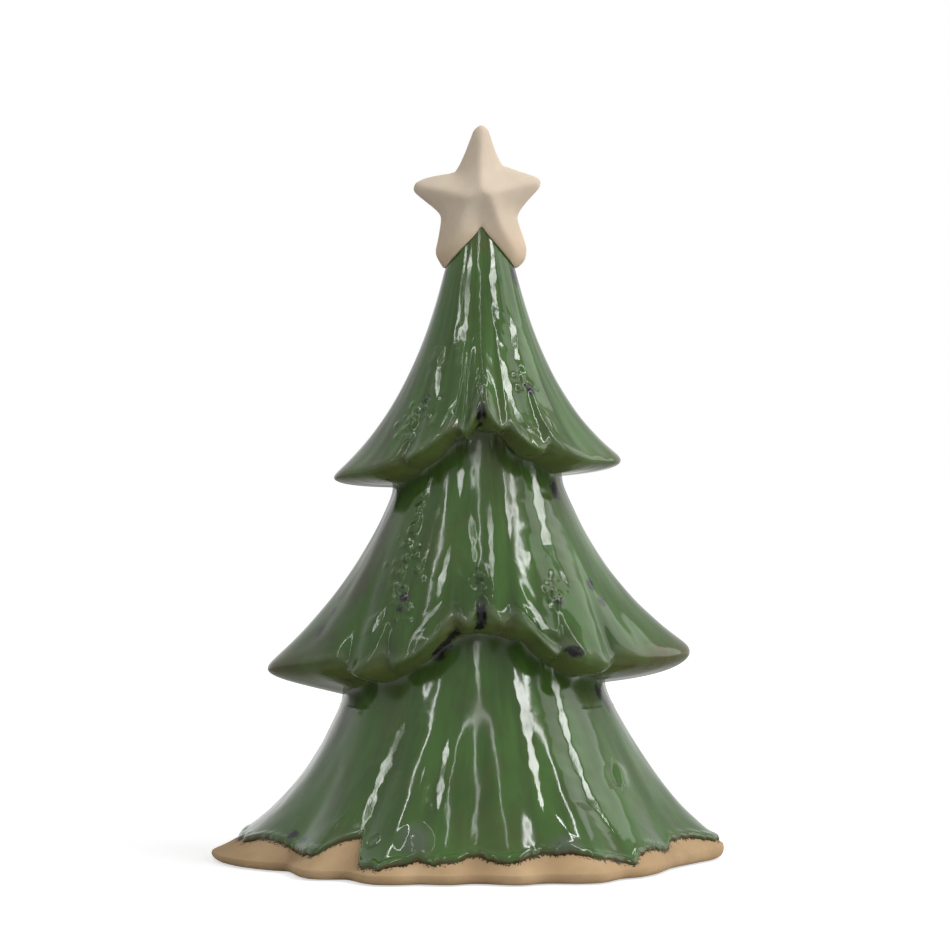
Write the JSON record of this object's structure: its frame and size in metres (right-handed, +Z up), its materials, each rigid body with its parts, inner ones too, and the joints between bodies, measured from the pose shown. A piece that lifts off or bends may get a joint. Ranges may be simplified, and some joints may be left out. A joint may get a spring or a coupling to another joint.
{
  "type": "ceramic christmas tree",
  "caption": "Free-standing ceramic tree in draped tiers with a green reactive glaze, a bare clay star on top and a hollow, bare clay foot.",
  "frame": {"origin": "on the surface the foot stands on, under the middle of the foot's width and depth", "axes": "+Z up, front towards -Y, +X to the right when seen from the front"},
  "size_m": [0.1606, 0.1416, 0.2302],
  "materials": {
    "bare_clay": "matte unglazed tan stoneware",
    "star_clay": "matte unglazed pale stoneware",
    "green_glaze": "glossy mottled green reactive glaze, brown where thin",
    "fired_slip": "matte fired slip"
  },
  "bodies": {
    "root": {"lower_tier": "bare_clay", "middle_tier": "bare_clay", "top_tier": "bare_clay", "star": "star_clay", "lower_glaze": "green_glaze", "middle_glaze": "green_glaze", "top_glaze": "green_glaze", "lower_joint": "fired_slip", "upper_joint": "fired_slip", "star_joint": "fired_slip"}
  },
  "joints": []
}
